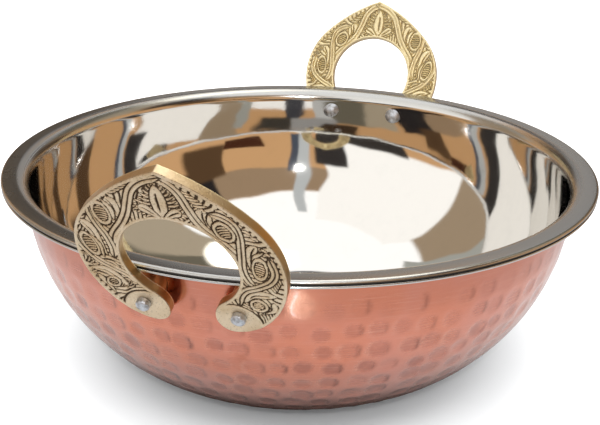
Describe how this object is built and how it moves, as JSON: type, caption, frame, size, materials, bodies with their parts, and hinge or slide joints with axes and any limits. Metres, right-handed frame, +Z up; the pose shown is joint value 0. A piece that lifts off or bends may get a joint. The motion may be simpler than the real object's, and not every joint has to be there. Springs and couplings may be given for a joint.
{
  "type": "kadai",
  "caption": "Round-bottomed kadai: a steel bowl rolled round a hammered copper shell, with pointed-arch cast brass loop handles riveted at each side.",
  "frame": {"origin": "middle of the flat foot, on the surface that the bowl stands on", "axes": "+X towards one handle, +Y across the bowl between the handles, +Z up out of the mouth"},
  "size_m": [0.2734, 0.23, 0.12],
  "materials": {
    "bowl_steel": "mirror polished",
    "shell_copper": "hammered and satin",
    "handle_brass": "cast, carved and darkened in the recesses",
    "rivet_steel": "peened"
  },
  "bodies": {
    "root": {"steel_bowl": "bowl_steel", "copper_shell": "shell_copper", "handle_right": "handle_brass", "handle_left": "handle_brass", "rivet_right_front": "rivet_steel", "rivet_right_back": "rivet_steel", "rivet_left_front": "rivet_steel", "rivet_left_back": "rivet_steel"}
  },
  "joints": []
}
